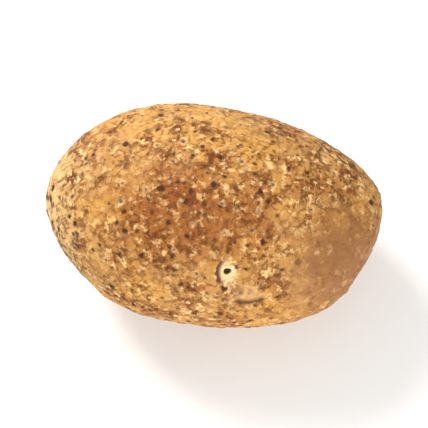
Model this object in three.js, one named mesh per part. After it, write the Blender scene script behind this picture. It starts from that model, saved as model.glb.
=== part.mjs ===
// A russet potato lying on its broad side, as one closed solid. Millimetres, +Z up.
// X runs from the stem end, where it hung on the plant, to the bud end, where its eyes crowd together.
// The origin is on the surface that it lies on, under the middle of its box.

import * as THREE from "three";
import { mergeVertices } from "three/addons/utils/BufferGeometryUtils.js";

// Driving dimensions: the whole potato, bumps and flat spot included
const length = 105;
const width = 70;
const thickness = 60;
const fullness = 2.06; // 2 gives an ellipsoid, and more gives blunter ends
const restDepth = 1.5; // how far the underside is pressed in where it rests
const restBlend = 0.8; // height over which that flat spot rounds into the skin
const rows = 18; // rows of triangles along each edge of the starting icosahedron

const half = new THREE.Vector3(length / 2, width / 2, thickness / 2);
const degrees = Math.PI / 180;

// A place on the skin: `along` is the share of the way from the middle to the bud end (1) or to the stem
// end (-1), and `turn` the angle about the long axis, from the top (0) over the front (90) to below (180).
function directionOf({ along, turn }) {
  const ring = Math.sqrt(1 - along * along);
  const angle = turn * degrees;
  return new THREE.Vector3(along, -ring * Math.sin(angle), ring * Math.cos(angle));
}

// Broad swellings (height above 0) and hollows (below 0), each with its spread in degrees.
const swellings = [
  { along: 0.93, turn: -80, spread: 21, height: 2.3 }, // far shoulder of the bud end
  { along: 0.96, turn: 95, spread: 19, height: -1.7 }, // near side of the bud end, drawn in
  { along: 0.66, turn: 105, spread: 20, height: 1.0 }, // near cheek before it
  { along: 0.24, turn: -75, spread: 22, height: -1.3 }, // far side, a little straighter
  { along: -0.5, turn: -78, spread: 30, height: 1.3 }, // far shoulder of the stem end
  { along: -0.4, turn: 102, spread: 24, height: 1.5 }, // near side, fullest by the stem end
  { along: -0.86, turn: 105, spread: 24, height: -1.3 }, // near side of the stem end, drawn in
  { along: -0.98, turn: 0, spread: 24, height: 0.9 }, // tip of the stem end
  { along: 0.2, turn: 52, spread: 17, height: -0.9 }, // shallow saddle that holds the near eyes
  { along: -0.4, turn: 6, spread: 38, height: 1.5 }, // back, highest towards the stem end
  { along: 0.72, turn: 0, spread: 28, height: -1.3 }, // top of the bud end, falling away
  { along: 0.1, turn: -20, spread: 18, height: -0.6 }, // faint dip across the back
  { along: -0.8, turn: 170, spread: 26, height: -1.2 }, // underside rising to the stem end
  { along: 0.62, turn: 165, spread: 26, height: 1.0 }, // underside, full below the bud end
];

// Slow waves all over the skin, so that no stretch of it is a perfect ellipsoid.
const waves = [
  { towards: [0.9, 2.6, 1.4], phase: 0.4, height: 0.34 },
  { towards: [2.9, -1.5, 2.2], phase: 2.1, height: 0.28 },
  { towards: [-4.2, 1.8, 3.1], phase: 4.4, height: 0.2 },
  { towards: [5.3, 3.9, -2.7], phase: 1.3, height: 0.13 },
];

// Eyes: shallow sockets, wider across the potato than along it. They follow a spiral round it and crowd
// at the bud end.
const eyes = [
  { along: 0.13, turn: 47, width: 9, length: 6, depth: 1.0 },
  { along: 0.27, turn: 62, width: 9, length: 5, depth: 0.6 },
  { along: 0.66, turn: -42, width: 9, length: 5, depth: 0.6 },
  { along: -0.3, turn: -104, width: 12, length: 7, depth: 1.2 },
  { along: -0.56, turn: 134, width: 11, length: 6, depth: 1.0 },
  { along: 0.3, turn: -140, width: 12, length: 7, depth: 1.2 },
  { along: 0.48, turn: 138, width: 11, length: 7, depth: 1.2 },
  { along: -0.72, turn: -150, width: 10, length: 6, depth: 0.9 },
  { along: 0.89, turn: 122, width: 9, length: 6, depth: 1.1 },
  { along: 0.87, turn: -112, width: 9, length: 6, depth: 1.2 },
  { along: 0.98, turn: 178, width: 7, length: 5, depth: 1.0 },
];

// The dimple where the stem broke away.
const stemScar = { along: -0.985, turn: 150, width: 9, length: 9, depth: 1.6 };

// The plain form under one direction from the middle: a blunt-ended ellipsoid.
function plainForm(direction) {
  const ring = Math.hypot(direction.y, direction.z);
  const reach = (Math.abs(direction.x) ** fullness + ring ** fullness) ** (-1 / fullness);
  return direction.clone().multiply(half).multiplyScalar(reach);
}

function outwards(direction) {
  return direction.clone().divide(half).normalize();
}

function swellingAt(direction) {
  const lift = ({ height, spread, ...place }) =>
    height * Math.exp(-((direction.angleTo(directionOf(place)) / (spread * degrees)) ** 2));
  return swellings.reduce((sum, swelling) => sum + lift(swelling), 0);
}

function waveAt(direction) {
  const lift = ({ towards, phase, height }) =>
    height * Math.cos(direction.dot(new THREE.Vector3(...towards)) + phase);
  return waves.reduce((sum, wave) => sum + lift(wave), 0);
}

// Each socket is measured in its own frame on the skin: out of it, towards the bud end, and across.
function socketFrame(socket) {
  const direction = directionOf(socket);
  const normal = outwards(direction);
  const across = new THREE.Vector3(1, 0, 0).cross(normal).normalize();
  const towardsBud = normal.clone().cross(across);
  return { ...socket, centre: plainForm(direction), normal, across, towardsBud };
}

const sockets = [...eyes, stemScar].map(socketFrame);

function socketDepthAt(point) {
  const sink = ({ centre, normal, across, towardsBud, ...size }) => {
    const offset = point.clone().sub(centre);
    const shares = [
      offset.dot(towardsBud) / (size.length / 2),
      offset.dot(across) / (size.width / 2),
      offset.dot(normal) / (size.width / 2),
    ];
    return size.depth * Math.exp(-shares.reduce((sum, share) => sum + share * share, 0));
  };
  return sockets.reduce((sum, socket) => sum + sink(socket), 0);
}

// The higher of two heights, rounded over where they meet.
function roundedMax(a, b, blend) {
  const overlap = Math.max(blend - Math.abs(a - b), 0) / blend;
  return Math.max(a, b) + (overlap * overlap * blend) / 4;
}

function skinPoint(direction) {
  const point = plainForm(direction);
  const rise = swellingAt(direction) + waveAt(direction) - socketDepthAt(point);
  return point.addScaledVector(outwards(direction), rise);
}

// Brings the whole to its driving dimensions, over the origin. The flat spot is already at height 0.
function fitToSize(skin) {
  skin.computeBoundingBox();
  const size = skin.boundingBox.getSize(new THREE.Vector3());
  skin.scale(length / size.x, width / size.y, thickness / size.z);
  skin.computeBoundingBox();
  const middle = skin.boundingBox.getCenter(new THREE.Vector3());
  skin.translate(-middle.x, -middle.y, 0);
}

function potatoGeometry() {
  const ball = new THREE.IcosahedronGeometry(1, rows - 1);
  ball.deleteAttribute("normal");
  ball.deleteAttribute("uv");
  const skin = mergeVertices(ball, 1e-5);
  const places = skin.getAttribute("position");
  const directions = Array.from({ length: places.count }, (_, i) =>
    new THREE.Vector3().fromBufferAttribute(places, i).normalize(),
  );
  const points = directions.map(skinPoint);
  const floor = Math.min(...points.map((point) => point.z)) + restDepth;
  points.forEach(({ x, y, z }, i) => places.setXYZ(i, x, y, roundedMax(z, floor, restBlend) - floor));
  fitToSize(skin);
  skin.computeVertexNormals();
  return skin;
}

function russetSkin() {
  return new THREE.MeshStandardMaterial({ color: "#bd864e", roughness: 0.75, metalness: 0 });
}

const potato = new THREE.Mesh(potatoGeometry(), russetSkin());
potato.name = "potato";

const part = new THREE.Group();
part.add(potato);

export default part;
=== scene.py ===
import math
import random

import bpy
import numpy as np
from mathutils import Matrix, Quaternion, Vector


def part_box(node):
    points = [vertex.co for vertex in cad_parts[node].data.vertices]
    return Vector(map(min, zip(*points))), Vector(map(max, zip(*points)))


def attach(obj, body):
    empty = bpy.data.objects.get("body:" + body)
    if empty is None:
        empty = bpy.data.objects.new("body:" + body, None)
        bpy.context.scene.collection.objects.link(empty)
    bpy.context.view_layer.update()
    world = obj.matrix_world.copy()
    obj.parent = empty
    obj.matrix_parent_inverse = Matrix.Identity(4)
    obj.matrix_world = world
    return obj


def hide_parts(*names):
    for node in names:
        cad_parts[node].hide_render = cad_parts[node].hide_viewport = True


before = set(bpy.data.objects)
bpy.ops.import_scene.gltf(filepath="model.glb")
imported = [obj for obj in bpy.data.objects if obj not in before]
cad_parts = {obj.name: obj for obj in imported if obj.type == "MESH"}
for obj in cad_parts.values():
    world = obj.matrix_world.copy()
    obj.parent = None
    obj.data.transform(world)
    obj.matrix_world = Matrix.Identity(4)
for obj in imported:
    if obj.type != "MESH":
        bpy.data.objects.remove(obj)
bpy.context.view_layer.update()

mm = 0.001
lowCorner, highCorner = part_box("potato")
middle = (lowCorner + highCorner) / 2
halfSize = (highCorner - lowCorner) / 2


def deselectAll():
    if bpy.context.mode != "OBJECT":
        bpy.ops.object.mode_set(mode="OBJECT")
    bpy.ops.object.select_all(action="DESELECT")


def pick(piece):
    deselectAll()
    piece.select_set(True)
    bpy.context.view_layer.objects.active = piece


def applyModifier(piece, name, kind, settings):
    pick(piece)
    modifier = piece.modifiers.new(name, kind)
    for setting, value in settings.items():
        setattr(modifier, setting, value)
    bpy.ops.object.modifier_apply(modifier=modifier.name)


# Adds one node. Settings come first by attribute, such as operation, then by input name or number.
def addNode(tree, kind, settings=None, links=None):
    node = tree.nodes.new(kind)
    for name, value in (settings or {}).items():
        if isinstance(name, str) and hasattr(node, name):
            setattr(node, name, value)
        else:
            node.inputs[name].default_value = value
    for name, source in (links or {}).items():
        socket = source if isinstance(source, bpy.types.NodeSocket) else source.outputs[0]
        tree.links.new(socket, node.inputs[name])
    return node


def linear(hexColour):  # sRGB hex to linear light
    channels = [int(hexColour[i : i + 2], 16) / 255 for i in (1, 3, 5)]
    return [c / 12.92 if c <= 0.04045 else ((c + 0.055) / 1.055) ** 2.4 for c in channels] + [1]


def perMetre(millimetres):  # texture scale that repeats a pattern about every so many millimetres
    return 1000 / millimetres


tuber = {
    "squaresAlong": 21,  # cage squares, about 5 mm each
    "squaresAcross": 14,
    "squaresUp": 13,
    "fineLevels": 2,  # halvings of the cage after the first, which is wrapped once more
}


# Cuts every edge that runs along one axis, so the box becomes a cage of squares.
def cutAlong(cage, axis, pieces):
    pick(cage)
    for edge in cage.data.edges:
        a, b = (cage.data.vertices[i].co for i in edge.vertices)
        edge.select = abs((b - a).normalized()[axis]) > 0.99
    for face in cage.data.polygons:
        face.select = False
    for vertex in cage.data.vertices:
        vertex.select = False
    bpy.ops.object.mode_set(mode="EDIT")
    bpy.ops.mesh.subdivide(number_cuts=pieces - 1)
    bpy.ops.object.mode_set(mode="OBJECT")


def wrapTarget():
    pick(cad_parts["potato"])
    bpy.ops.object.duplicate()
    target = bpy.context.active_object
    bpy.ops.object.mode_set(mode="EDIT")
    bpy.ops.mesh.select_all(action="SELECT")
    bpy.ops.mesh.remove_doubles(threshold=0.01 * mm)
    bpy.ops.object.mode_set(mode="OBJECT")
    return target


def makeTuber():
    deselectAll()
    bpy.context.tool_settings.mesh_select_mode = (False, True, False)
    bpy.ops.mesh.primitive_cube_add(size=2)
    potato = bpy.context.active_object
    potato.name = "russet_potato"
    cutAlong(potato, 0, tuber["squaresAlong"])
    cutAlong(potato, 1, tuber["squaresAcross"])
    cutAlong(potato, 2, tuber["squaresUp"])
    for vertex in potato.data.vertices:  # evens the squares out before they are rounded into a ball
        vertex.co = [math.tan(c * math.pi / 4) for c in vertex.co]
    applyModifier(potato, "round", "CAST", {"cast_type": "SPHERE", "factor": 1, "radius": 1})
    pick(potato)
    bpy.ops.transform.resize(value=halfSize)
    bpy.ops.transform.translate(value=middle)
    bpy.ops.object.transform_apply(location=True, rotation=False, scale=True)
    target = wrapTarget()
    wrap = {"target": target, "wrap_method": "NEAREST_SURFACEPOINT"}
    applyModifier(potato, "wrap", "SHRINKWRAP", wrap)
    applyModifier(potato, "halve", "SUBSURF", {"levels": 1, "render_levels": 1})
    applyModifier(potato, "wrapAgain", "SHRINKWRAP", wrap)
    fine = {"levels": tuber["fineLevels"], "render_levels": tuber["fineLevels"]}
    applyModifier(potato, "fine", "SUBSURF", fine)
    bpy.data.objects.remove(target)
    print("tuber wrapped:", len(potato.data.polygons), "squares")
    return potato


potato = makeTuber()

# along: share of the way from the middle to the bud end (1) or the stem end (-1)
# turn: degrees about the long axis, from the top (0) over the front (90) to the underside (180)
# width and length: mm across the potato and along it
# depth, pit and brow: mm, the socket's depth, the radius of the pit, which is painted dark as shade, and the
# brow's height
# halo: how pale the skin is round the bud. heading: degrees that the eye is turned from facing the bud end
eyes = [
    {"along": 0.13, "turn": 47, "width": 8.4, "length": 5.6, "depth": 0.5,
     "pit": 1.05, "halo": 1.0, "brow": 0.7},
    {"along": 0.27, "turn": 62, "width": 9, "length": 6, "depth": 0.5,
     "pit": 0.35, "halo": 0.25, "brow": 0.55,
     "heading": 100},
    {"along": 0.66, "turn": -42, "width": 8, "length": 5, "depth": 0.4,
     "pit": 0.4, "halo": 0.1, "brow": 0.45},
    {"along": -0.3, "turn": -104, "width": 14, "length": 8, "depth": 1.2,
     "pit": 0.9, "halo": 0.25, "brow": 0.7},
    {"along": -0.56, "turn": 134, "width": 12, "length": 7, "depth": 1.0,
     "pit": 0.7, "halo": 0.2, "brow": 0.6},
    {"along": 0.3, "turn": -140, "width": 14, "length": 8, "depth": 1.2,
     "pit": 0.8, "halo": 0.25, "brow": 0.7},
    {"along": 0.48, "turn": 138, "width": 13, "length": 8, "depth": 1.2,
     "pit": 0.9, "halo": 0.3, "brow": 0.7},
    {"along": -0.72, "turn": -150, "width": 11, "length": 7, "depth": 0.9,
     "pit": 0.6, "halo": 0.1, "brow": 0.5},
    {"along": 0.89, "turn": 122, "width": 10, "length": 7, "depth": 1.0,
     "pit": 0.7, "halo": 0.2, "brow": 0.45},
    {"along": 0.87, "turn": -112, "width": 10, "length": 7, "depth": 1.0,
     "pit": 0.8, "halo": 0.2, "brow": 0.45},
    {"along": 0.98, "turn": 178, "width": 8, "length": 6, "depth": 0.9,
     "pit": 0.6, "halo": 0.2, "brow": 0.35},
]

# the round scar where the stolon broke off
stemScar = {"along": -0.985, "turn": 150, "width": 8, "length": 8, "depth": 0.4,
            "pit": 1.3, "halo": 0.5, "brow": 0}

# the bigger lenticels, the skin's breathing pores: a raised pale ring round a pit painted dark as shade
lenticels = {
    "placed": [
        (-0.21, -24, 2.8), (0.6, 6, 2.4), (-0.81, 13, 2.6), (-0.79, 45, 2.8), (-0.52, 3, 2.2),
        (-0.51, 14, 2.3), (-0.38, 6, 2.1), (-0.25, -11, 2.3), (-0.36, -22, 2.2), (-0.47, -52, 2.6),
        (-0.04, -56, 2.3), (-0.05, 48, 2.2), (-0.03, 72, 2.2), (0.15, -15, 2.6), (0.35, -4, 2.2),
        (-0.58, 53, 2.3), (0.06, 10, 2.0), (0.72, -30, 2.4),
    ],  # along, turn, and the ring's width in mm
    "placedPit": 0.24,  # the dark pit's radius, as a share of the ring's width
    "placedHalo": 0.35,
    "scattered": 170,
    "reach": 0.985,  # how near the tips they come, as a share of the way there
    "widths": (1.3, 2.3),
    "pits": (0.02, 0.24),
    "halos": (0, 0.4),
    "clearance": 2.0,  # mm from one ring to the next
    "seed": 11,
}

skinMarks = []


def directionOf(along, turn):
    ring = math.sqrt(1 - along * along)
    angle = math.radians(turn)
    across = -ring * math.sin(angle) * halfSize.y
    up = ring * math.cos(angle) * halfSize.z
    return Vector((along * halfSize.x, across, up))


def addMark(potato, along, turn, width, length, depth, pit, halo, brow, heading=0):
    _, place, normal, _ = potato.ray_cast(middle, directionOf(along, turn).normalized())
    across = Vector((1, 0, 0)).cross(normal).normalized()
    across.rotate(Quaternion(normal, math.radians(heading)))
    skinMarks.append({
        "place": place, "across": across, "towardsBud": normal.cross(across),
        "width": width * mm / 2, "length": length * mm / 2,
        "depth": depth * mm, "pit": pit * mm, "halo": halo, "brow": brow * mm,
    })


def placeMarks(potato):
    for eye in eyes:
        addMark(potato, **eye)
    addMark(potato, **stemScar)
    for along, turn, width in lenticels["placed"]:
        pit = lenticels["placedPit"] * width
        addMark(potato, along, turn, width, width, 0, pit, lenticels["placedHalo"], 0)
    source = random.Random(lenticels["seed"])
    wanted = len(skinMarks) + lenticels["scattered"]
    while len(skinMarks) < wanted:
        along = source.uniform(-lenticels["reach"], lenticels["reach"])
        turn = source.uniform(-180, 180)
        width = source.uniform(*lenticels["widths"])
        pit = width * source.uniform(*lenticels["pits"])
        halo = source.uniform(*lenticels["halos"])
        _, place, _, _ = potato.ray_cast(middle, directionOf(along, turn).normalized())
        room = (width / 2 + lenticels["clearance"]) * mm
        if all((place - m["place"]).length > room + max(m["width"], m["length"]) for m in skinMarks):
            addMark(potato, along, turn, width, width, 0, pit, halo, 0)
        else:
            wanted -= 0.05  # a crowded skin ends the search
    print("skin marks placed:", len(skinMarks))


browBend = 0.45  # how far a brow bends round its bud


def steps(low, high, value):  # 0 below low, 1 above high, and smooth between
    t = np.clip((value - low) / (high - low), 0, 1)
    return t * t * (3 - 2 * t)


# The height that a mark adds to the skin. u runs towards the bud end and v across, and the mark's edge is
# where the two make a distance of 1.
def markHeight(mark, u, v):
    radius = np.hypot(u, v)
    distance = np.hypot(u * mark["length"], v * mark["width"])
    height = -mark["depth"] * np.exp(-((radius / 1.1) ** 2))
    height -= 0.7 * mark["pit"] * np.exp(-((distance / (mark["pit"] + 0.1 * mm)) ** 4))
    if mark["brow"]:
        arc = u + 1.2 - browBend * v * v  # 0 along the brow, which bends round the bud
        span = np.exp(-((v / 1.0) ** 4))
        height += mark["brow"] * np.exp(-(((arc + 0.35) / 0.5) ** 2)) * span
        height -= 0.8 * mark["brow"] * np.exp(-(((arc - 0.1) / 0.3) ** 2)) * span
        for side in (-0.45, 0.45):  # the swollen edges of the bud
            height += 0.3 * mm * np.exp(-(((u - 0.15) / 0.4) ** 2 + ((v - side) / 0.22) ** 2))
    else:
        height += 0.11 * mm * np.exp(-(((radius - 0.8) / 0.35) ** 2))
    return height * (1 - steps(1.9, 2.4, radius))


# Sculpts every mark, and leaves its measure on the skin for the material to read. That is a point's place in
# the nearest mark and its distance from the mark's middle in mm, then the radius of the mark's pit in mm,
# which sets the pit's painted shade, and how strong its pale halo and the painted shade of its brow are
# there.
def sculptMarks(potato):
    count = len(potato.data.vertices)
    points, normals = np.empty(count * 3, np.float32), np.empty(count * 3, np.float32)
    potato.data.vertices.foreach_get("co", points)
    potato.data.vertex_normals.foreach_get("vector", normals)
    points = points.reshape(-1, 3).astype(float)
    height = np.zeros(count)
    nearest = np.full(count, 9.0)
    place = np.full((count, 3), 9.0)
    tone = np.zeros((count, 3))
    for mark in skinMarks:
        offset = points - np.array(mark["place"])
        distance = np.sqrt(np.einsum("ij,ij->i", offset, offset))
        near = np.nonzero(distance < 2.6 * max(mark["width"], mark["length"]))[0]
        u = offset[near] @ np.array(mark["towardsBud"]) / mark["length"]
        v = offset[near] @ np.array(mark["across"]) / mark["width"]
        height[near] += markHeight(mark, u, v)
        radius = np.hypot(u, v)
        closer = radius < nearest[near]
        chosen = near[closer]
        nearest[chosen] = radius[closer]
        place[chosen] = np.stack([u[closer], v[closer], distance[chosen] / mm], axis=1)
        strengths = np.array([mark["pit"] / mm, mark["halo"], min(mark["brow"] / mm / 0.6, 1)])
        tone[chosen] = strengths * (1 - steps(1.6, 2.0, radius[closer]))[:, None]
    points += normals.reshape(-1, 3) * height[:, None]
    potato.data.vertices.foreach_set("co", points.astype(np.float32).ravel())
    potato.data.update()
    for name, values in (("markPlace", place), ("markToneAndShade", tone)):
        attribute = potato.data.attributes.new(name, "FLOAT_VECTOR", "POINT")
        attribute.data.foreach_set("vector", values.astype(np.float32).ravel())
    print("eyes, stem scar and lenticels sculpted")


placeMarks(potato)
sculptMarks(potato)

# The russet pattern is used twice: as relief in the mesh, and as colour in the material.
skinPattern = {
    "patches": 10,  # mm, size of the patches where the skin is more or less corky
    "scurf": {"size": 3.7, "from": 0.485, "to": 0.6},  # mm across, the dark corky flakes
    "flecks": {"size": 2.6, "from": 0.515, "to": 0.65},  # mm across, the pale gaps between them
    "net": 2.6,  # mm, between the lines of the corky net
    "specks": 3.1,  # mm, between dark specks
    "wander": 0.8,  # mm, how far the net's lines stray
    "wobble": 1.6,  # mm, size of the noise that leads them astray
}

softStep = {"interpolation_type": "SMOOTHSTEP"}


def addRussetPattern(tree, position):
    wobble = addNode(tree, "ShaderNodeTexNoise", {"Scale": perMetre(skinPattern["wobble"]), "Detail": 3},
                     {"Vector": position})
    centred = addNode(tree, "ShaderNodeVectorMath", {"operation": "SUBTRACT", 1: (0.5, 0.5, 0.5)},
                      {0: wobble.outputs["Color"]})
    strayed = addNode(tree, "ShaderNodeVectorMath",
                      {"operation": "MULTIPLY_ADD", 1: (2 * skinPattern["wander"] * mm,) * 3},
                      {0: centred, 2: position})
    patches = addNode(tree, "ShaderNodeTexNoise", {"Scale": perMetre(skinPattern["patches"]), "Detail": 4},
                      {"Vector": position})
    sockets = {"patches": patches.outputs[0]}
    for name, shift in (("scurf", 0), ("flecks", 0.3)):
        spots = skinPattern[name]
        moved = addNode(tree, "ShaderNodeVectorMath", {"operation": "ADD", 1: (shift,) * 3},
                        {0: strayed})
        noise = addNode(tree, "ShaderNodeTexNoise",
                        {"Scale": perMetre(spots["size"]), "Detail": 5, "Roughness": 0.62}, {"Vector": moved})
        share = addNode(tree, "ShaderNodeMapRange",
                        softStep | {"From Min": spots["from"], "From Max": spots["to"]}, {"Value": noise})
        sockets[name] = share.outputs[0]
    cells = addNode(tree, "ShaderNodeTexVoronoi",
                    {"feature": "DISTANCE_TO_EDGE", "Scale": perMetre(skinPattern["net"])},
                    {"Vector": strayed})
    line = addNode(tree, "ShaderNodeMapRange",
                   softStep | {"From Min": 0.0, "From Max": 0.24, "To Min": 0.9, "To Max": 0.0},
                   {"Value": cells})
    breaks = addNode(tree, "ShaderNodeMapRange", softStep | {"From Min": 0.42, "From Max": 0.6},
                     {"Value": wobble})
    net = addNode(tree, "ShaderNodeMath", {"operation": "MULTIPLY"}, {0: line, 1: breaks})
    sockets["net"] = net.outputs[0]
    # each cell's own random number sets the size of its speck, and leaves many cells empty
    dots = addNode(tree, "ShaderNodeTexVoronoi", {"feature": "F1", "Scale": perMetre(skinPattern["specks"])},
                   {"Vector": strayed})
    size = addNode(tree, "ShaderNodeMapRange", {"From Min": 0.15, "To Min": 0.0, "To Max": 0.45},
                   {"Value": dots.outputs["Color"]})
    edge = addNode(tree, "ShaderNodeMath", {"operation": "SUBTRACT"}, {0: size, 1: dots.outputs["Distance"]})
    speck = addNode(tree, "ShaderNodeMapRange", softStep | {"From Min": -0.12, "From Max": 0.2},
                    {"Value": edge})
    sockets["specks"] = speck.outputs[0]
    return sockets


# mm, height of each kind of unevenness
relief = {
    "lumps": 1.5,  # slow rises and falls
    "dents": 0.6,  # smaller ones
    "scurf": 0.16,
    "net": 0.12,
    "specks": 0.14,
    "flecks": 0.1,
}
reliefSizes = {"lumps": 14, "dents": 5}  # mm across


def addRelief(potato):
    tree = bpy.data.node_groups.new("skinRelief", "GeometryNodeTree")
    tree.interface.new_socket("Geometry", in_out="INPUT", socket_type="NodeSocketGeometry")
    tree.interface.new_socket("Geometry", in_out="OUTPUT", socket_type="NodeSocketGeometry")
    start = addNode(tree, "NodeGroupInput")
    position = addNode(tree, "GeometryNodeInputPosition")
    pattern = addRussetPattern(tree, position.outputs[0])
    for name, size in reliefSizes.items():
        noise = addNode(tree, "ShaderNodeTexNoise", {"Scale": perMetre(size), "Detail": 1},
                        {"Vector": position})
        level = addNode(tree, "ShaderNodeMath", {"operation": "SUBTRACT", 1: 0.5}, {0: noise})
        pattern[name] = level.outputs[0]
    signs = {"lumps": 1, "dents": 1, "scurf": 1, "net": -1, "specks": -1, "flecks": -1}
    height = addNode(tree, "ShaderNodeValue")
    for name, sign in signs.items():
        height = addNode(tree, "ShaderNodeMath", {"operation": "MULTIPLY_ADD", 1: sign * relief[name] * mm},
                         {0: pattern[name], 2: height})
    normal = addNode(tree, "GeometryNodeInputNormal")
    offset = addNode(tree, "ShaderNodeVectorMath", {"operation": "SCALE"}, {0: normal, "Scale": height})
    moved = addNode(tree, "GeometryNodeSetPosition", {}, {"Geometry": start, "Offset": offset})
    addNode(tree, "NodeGroupOutput", {}, {0: moved})
    applyModifier(potato, "skinRelief", "NODES", {"node_group": tree})
    for vertex in potato.data.vertices:  # what lies on the surface stays flat on it
        vertex.co.z = max(vertex.co.z, 0)
    pick(potato)
    bpy.ops.object.shade_smooth()
    print("skin relief added")


addRelief(potato)

skinColours = {
    "tan": "#bb8647",  # smooth skin
    "golden": "#c99145",
    "cream": "#dcb378",  # paler skin at the stem end, with painted light on that end
    "bud": "#936133",  # smooth skin of the bud end, painted darker as shade on the end away from the light
    "russet": "#85430e",  # corky skin
    "scurf": "#6f3a0a",
    "net": "#5c3008",
    "fleck": "#efc481",
    "speck": "#431f05",
    "halo": "#f3ce96",  # stretched skin round an eye or a pore
    # brow: painted shade, the shadow under a brow's lip that fades into the eye
    "brow": "#553113",
    # pit: painted shade, near black, in the sculpted pit of each eye and pore
    "pit": "#1b0c03",
}

# Soft-edged ovals of another skin, the cream one with painted light in it and the bud one with painted shade:
# where each lies and how far it reaches, in mm, and where its ragged edge starts and ends
skinZones = {
    # bud: smooth skin, with painted shade darkening this end
    "bud": {"middle": (46, -16, 38), "reach": (36, 28, 36), "from": 0.5, "to": 1.15, "most": 1.0},
    # cream: paler skin, with painted light brightening this end
    "cream": {"middle": (-54, -8, 32), "reach": (32, 38, 38), "from": 0.55, "to": 1.25, "most": 0.85},
    "russet": {"middle": (-8, -10, 58), "reach": (42, 25, 26), "from": 0.5, "to": 1.3, "most": 0.8},
}


# mm, size of the noise in each
textureSizes = {"mottle": 16, "zoneEdge": 9, "fray": 1.1, "grain": 0.5}

# how far noise moves each edge
raggedness = {"zone": 0.9, "halo": 2.4, "brow": 0.5, "pit": 1.1}


def addZone(tree, position, ragged, zone):
    oval = addNode(tree, "ShaderNodeMapping",
                   {"vector_type": "TEXTURE", "Location": [c * mm for c in zone["middle"]],
                    "Scale": [c * mm for c in zone["reach"]]}, {"Vector": position})
    depth = addNode(tree, "ShaderNodeTexGradient", {"gradient_type": "SPHERICAL"}, {"Vector": oval})
    edge = addNode(tree, "ShaderNodeMath", {"operation": "MULTIPLY_ADD", 1: raggedness["zone"]},
                   {0: ragged, 2: depth})
    share = addNode(tree, "ShaderNodeMapRange",
                    softStep | {"From Min": zone["from"], "From Max": zone["to"], "To Max": zone["most"]},
                    {"Value": edge})
    return share.outputs[0]


# The pale halo of each mark, and the painted shade under its brow and in its pit, from the measure that
# sculpting left on the skin.
def addMarkShares(tree, position):
    place = addNode(tree, "ShaderNodeAttribute", {"attribute_name": "markPlace"}).outputs["Vector"]
    tone = addNode(tree, "ShaderNodeAttribute", {"attribute_name": "markToneAndShade"}).outputs["Vector"]
    alongAcross = addNode(tree, "ShaderNodeSeparateXYZ", {}, {0: place})
    pitHaloBrow = addNode(tree, "ShaderNodeSeparateXYZ", {}, {0: tone})
    fray = addNode(tree, "ShaderNodeTexNoise", {"Scale": perMetre(textureSizes["fray"]), "Detail": 3},
                   {"Vector": position})
    flat = addNode(tree, "ShaderNodeVectorMath", {"operation": "MULTIPLY", 1: (1, 1, 0)}, {0: place})
    radius = addNode(tree, "ShaderNodeVectorMath", {"operation": "LENGTH"}, {0: flat}).outputs["Value"]
    edge = addNode(tree, "ShaderNodeMath", {"operation": "MULTIPLY_ADD", 1: raggedness["halo"]},
                   {0: fray, 2: radius})
    ring = addNode(tree, "ShaderNodeMapRange", softStep | {"From Min": 2.6, "From Max": 1.6}, {"Value": edge})
    halo = addNode(tree, "ShaderNodeMath", {"operation": "MULTIPLY"}, {0: ring, 1: pitHaloBrow.outputs[1]})

    across = alongAcross.outputs[1]
    bend = addNode(tree, "ShaderNodeMath", {"operation": "MULTIPLY"}, {0: across, 1: across})
    arc = addNode(tree, "ShaderNodeMath", {"operation": "MULTIPLY_ADD", 1: -browBend},
                  {0: bend, 2: alongAcross.outputs[0]})
    crease = addNode(tree, "ShaderNodeMath", {"operation": "ADD", 1: 1.12}, {0: arc})
    ragged = addNode(tree, "ShaderNodeMath", {"operation": "MULTIPLY_ADD", 1: raggedness["brow"]},
                     {0: fray, 2: crease})
    # painted shade: dark from the crease under the brow's lip, fading softly towards the bud
    browShadowEdge = addNode(tree, "ShaderNodeMapRange", softStep | {"From Min": 0.0, "From Max": 0.25},
                    {"Value": ragged})
    browShadeFade = addNode(tree, "ShaderNodeMapRange", softStep | {"From Min": 0.95, "From Max": 0.3},
                    {"Value": ragged})
    line = addNode(tree, "ShaderNodeMath", {"operation": "MULTIPLY"}, {0: browShadowEdge, 1: browShadeFade})
    span = addNode(tree, "ShaderNodeMapRange", softStep | {"From Min": 1.3, "From Max": 0.5}, {"Value": bend})
    reach = addNode(tree, "ShaderNodeMath", {"operation": "MULTIPLY"}, {0: line, 1: span})
    brow = addNode(tree, "ShaderNodeMath", {"operation": "MULTIPLY"}, {0: reach, 1: pitHaloBrow.outputs[2]})

    # painted shade: the pit is darkened where the sculpted hole lies, the more for bigger pits
    within = addNode(tree, "ShaderNodeMath", {"operation": "SUBTRACT"},
                     {0: pitHaloBrow.outputs[0], 1: alongAcross.outputs[2]})
    within = addNode(tree, "ShaderNodeMath", {"operation": "MULTIPLY_ADD", 1: raggedness["pit"]},
                     {0: fray, 2: within})
    shadedPit = addNode(tree, "ShaderNodeMapRange", softStep | {"From Min": 0.35, "From Max": 0.75},
                   {"Value": within})
    shade = addNode(tree, "ShaderNodeMapRange", {"From Min": 0.1, "To Min": 0.3},
                    {"Value": pitHaloBrow.outputs[0]})
    pit = addNode(tree, "ShaderNodeMath", {"operation": "MULTIPLY"}, {0: shadedPit, 1: shade})
    return halo.outputs[0], brow.outputs[0], pit.outputs[0]
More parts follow.
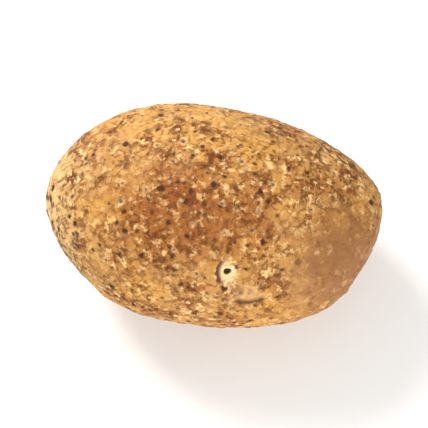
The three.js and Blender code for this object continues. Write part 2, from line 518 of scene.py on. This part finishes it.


# Potato skin, washed and dry. Where it is smooth it has a faint waxy sheen, and where it has russeted it is
# dull cork: brown scurf in a broken net, with pale flecks and dark specks. Its colour also holds painted
# light on the stem end and painted shade on the bud end, under each brow and in each pit.
def makeRussetSkin():
    material = bpy.data.materials.new("russetPotatoSkin")
    material.use_nodes = True
    tree = material.node_tree
    shader = tree.nodes["Principled BSDF"]
    shader.inputs["IOR"].default_value = 1.45
    shader.inputs["Specular IOR Level"].default_value = 0.35
    position = addNode(tree, "ShaderNodeTexCoord").outputs["Object"]
    pattern = addRussetPattern(tree, position)
    mottle = addNode(tree, "ShaderNodeTexNoise", {"Scale": perMetre(textureSizes["mottle"]), "Detail": 4},
                     {"Vector": position})
    goldenShare = addNode(tree, "ShaderNodeMapRange", softStep | {"From Min": 0.4, "From Max": 0.62},
                          {"Value": mottle})
    ragged = addNode(tree, "ShaderNodeTexNoise",
                     {"Scale": perMetre(textureSizes["zoneEdge"]), "Detail": 6, "Roughness": 0.65},
                     {"Vector": position})
    # the cream zone holds painted light and the bud zone painted shade
    zones = {name: addZone(tree, position, ragged, zone) for name, zone in skinZones.items()}
    corky = addNode(tree, "ShaderNodeMapRange", {"From Min": 0.35, "From Max": 0.6, "To Min": 0.4},
                    {"Value": pattern["patches"]})
    bare = addNode(tree, "ShaderNodeMapRange", {"To Min": 1.0, "To Max": 0.22}, {"Value": zones["bud"]})
    russeted = addNode(tree, "ShaderNodeMath", {"operation": "MULTIPLY"}, {0: corky, 1: bare})
    browned = addNode(tree, "ShaderNodeMapRange", {"To Min": 1.0, "To Max": 0.45},
                      {"Value": zones["russet"]})
    thick = addNode(tree, "ShaderNodeMapRange",
                    softStep | {"From Min": 0.46, "From Max": 0.64, "To Max": 0.5},
                    {"Value": pattern["patches"]})
    browner = addNode(tree, "ShaderNodeMath", {"operation": "MULTIPLY"}, {0: thick, 1: bare})
    layers = [("golden", goldenShare), ("russet", browner)] + list(zones.items())
    fleckLimit = addNode(tree, "ShaderNodeMath", {"operation": "MULTIPLY"}, {0: russeted, 1: browned})
    corkyLayers = (("scurf", "scurf", russeted), ("flecks", "fleck", fleckLimit), ("net", "net", russeted),
                   ("specks", "speck", bare))
    for name, colour, limit in corkyLayers:
        share = addNode(tree, "ShaderNodeMath", {"operation": "MULTIPLY"}, {0: pattern[name], 1: limit})
        layers.append((colour, share))
    halo, brow, pit = addMarkShares(tree, position)
    # the brow and pit layers paint shade into the skin
    layers += [("halo", halo), ("brow", brow), ("pit", pit)]
    skin = addNode(tree, "ShaderNodeMix", {"data_type": "RGBA", 0: 0, 6: linear(skinColours["tan"])})
    for colour, share in layers:
        skin = addNode(tree, "ShaderNodeMix", {"data_type": "RGBA", 7: linear(skinColours[colour])},
                       {0: share, 6: skin.outputs[2]})
    tree.links.new(skin.outputs[2], shader.inputs["Base Color"])

    roughness = addNode(tree, "ShaderNodeMapRange", {"To Min": 0.55, "To Max": 0.8}, {"Value": russeted})
    tree.links.new(roughness.outputs[0], shader.inputs["Roughness"])
    grain = addNode(tree, "ShaderNodeTexNoise", {"Scale": perMetre(textureSizes["grain"]), "Detail": 2},
                    {"Vector": position})
    height = addNode(tree, "ShaderNodeMath", {"operation": "MULTIPLY_ADD", 1: -0.6},
                     {0: pattern["net"], 2: grain})
    bump = addNode(tree, "ShaderNodeBump", {"Strength": 0.5, "Distance": 0.12 * mm}, {"Height": height})
    tree.links.new(bump.outputs[0], shader.inputs["Normal"])
    return material


potato.data.materials.clear()
potato.data.materials.append(makeRussetSkin())
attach(potato, "root")
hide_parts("potato")
print("skin finished")

studio = {
    "azimuth": 6,  # degrees, the side the camera stands on
    "elevation": 72,
    "lens": 200,
    "across": 134,  # mm of the scene across the picture
    "floor": "#f2f1ef",
    "floorSize": 3,  # metres
    "world": "#ffffff",
    "worldStrength": 0.55,
    "lights": {
        "keyLight": {"place": (-0.38, 0.38, 0.5), "size": 0.3, "power": 5.8},
        "fillLight": {"place": (0.3, -0.6, 0.4), "size": 0.6, "power": 5.5},
    },
}


# Matt white paper under the potato, which takes its soft shadow and shows no reflection.
def makeFloor():
    deselectAll()
    bpy.ops.mesh.primitive_plane_add(size=studio["floorSize"])
    floor = bpy.context.active_object
    floor.name = "floor"
    material = bpy.data.materials.new("studioPaper")
    material.use_nodes = True
    shader = material.node_tree.nodes["Principled BSDF"]
    shader.inputs["Base Color"].default_value = linear(studio["floor"])
    shader.inputs["Roughness"].default_value = 0.9
    floor.data.materials.append(material)


def addSoftLight(name, place, size, power):
    bpy.ops.object.light_add(type="AREA", location=place)
    light = bpy.context.active_object
    light.name = name
    light.data.size = size
    light.data.energy = power
    light.rotation_euler = (middle - Vector(place)).to_track_quat("-Z", "Y").to_euler()


def makeCamera():
    azimuth, elevation = math.radians(studio["azimuth"]), math.radians(studio["elevation"])
    towards = Vector((math.sin(azimuth) * math.cos(elevation), -math.cos(azimuth) * math.cos(elevation),
                      math.sin(elevation)))
    sensor = 36  # mm
    distance = studio["across"] * mm * studio["lens"] / sensor
    bpy.ops.object.camera_add(location=middle + towards * distance)
    camera = bpy.context.active_object
    camera.rotation_euler = towards.to_track_quat("Z", "Y").to_euler()
    camera.data.sensor_width = sensor
    camera.data.lens = studio["lens"]
    bpy.context.scene.camera = camera


def makeStudio():
    world = bpy.data.worlds.new("studio")
    world.use_nodes = True
    background = world.node_tree.nodes["Background"]
    background.inputs["Color"].default_value = linear(studio["world"])
    background.inputs["Strength"].default_value = studio["worldStrength"]
    bpy.context.scene.world = world
    bpy.context.scene.view_settings.view_transform = "Standard"
    makeFloor()
    for name, light in studio["lights"].items():
        addSoftLight(name, **light)
    makeCamera()
    print("studio set")


makeStudio()
